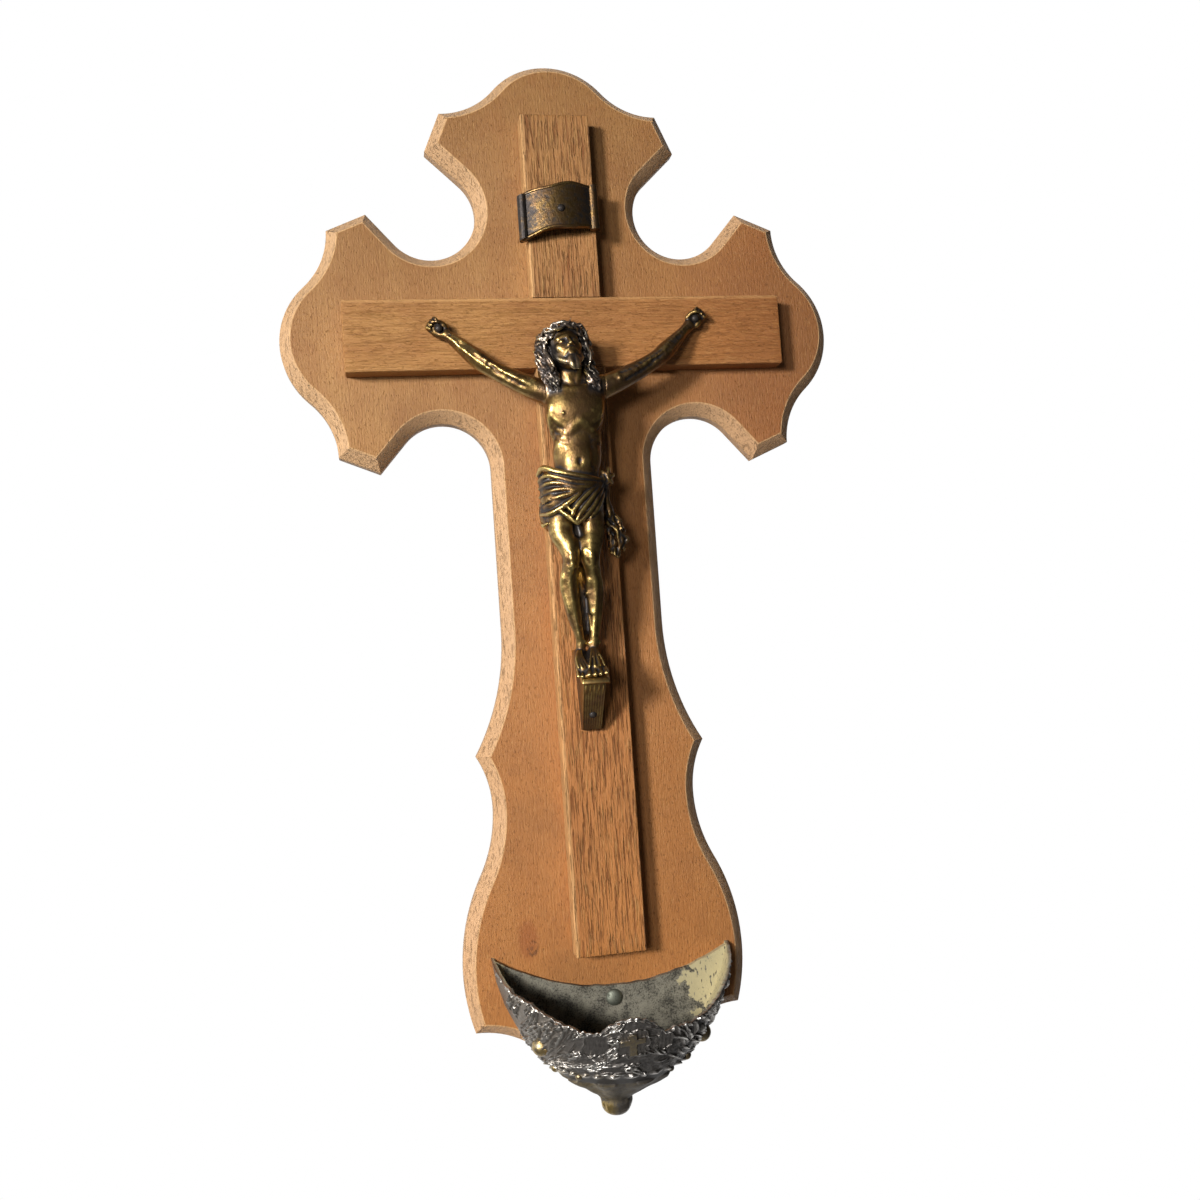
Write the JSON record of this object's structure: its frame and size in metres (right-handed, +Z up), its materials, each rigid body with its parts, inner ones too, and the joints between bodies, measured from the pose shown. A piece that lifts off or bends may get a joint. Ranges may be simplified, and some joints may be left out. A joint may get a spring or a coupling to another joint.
{
  "type": "holy water stoup",
  "caption": "Wall-hung wooden crucifix with a cast figure, a bare name scroll and a half-round cast metal bowl below that holds holy water; a ring in its back hangs it.",
  "frame": {"origin": "on the flat back of the board, on the upright's centre line, at the height of the crossbar's middle", "axes": "+X to the viewer's right, +Y into the wall, +Z up; the figure and the bowl face -Y"},
  "size_m": [0.203, 0.0494, 0.381],
  "materials": {
    "board": "varnished beech, warm tan with short dark ray flecks",
    "cross": "varnished beech, sawn face, slightly lighter than the board",
    "steel": "plain zinc-plated wood screws",
    "hanger": "dull plated strap and wire ring",
    "figure": "cast brass, bright on the high places and dark brown in the hollows",
    "dark_brass": "dark brown tarnished brass, worn bright on the edges",
    "bowl": "grey cast metal, tarnished, silvery on the rim and ridges"
  },
  "bodies": {
    "crucifix": {"backboard": "board", "cross_upright": "cross", "cross_bar": "cross", "upright_screw_upper": "steel", "upright_screw_middle": "steel", "upright_screw_lower": "steel", "crossbar_screw_left": "steel", "crossbar_screw_right": "steel", "hanger_screw_upper": "steel", "hanger_screw_lower": "steel", "hanger_strap": "hanger", "corpus_body": "figure", "corpus_arm_left": "figure", "corpus_arm_right": "figure", "scroll_plate": "dark_brass", "scroll_nail": "dark_brass", "hand_nail_left": "dark_brass", "hand_nail_right": "dark_brass", "foot_rest": "dark_brass", "foot_rest_nail": "dark_brass", "bowl": "bowl", "bowl_screw": "bowl"},
    "ring": {"hanger_ring": "hanger"}
  },
  "joints": [
    {"name": "hanger_ring_swing", "type": "hinge", "parent": "crucifix", "child": "ring", "pos_m": [0, -0.0029, 0.078], "axis": [-1, 0, 0], "range_deg": [0, 175]}
  ]
}
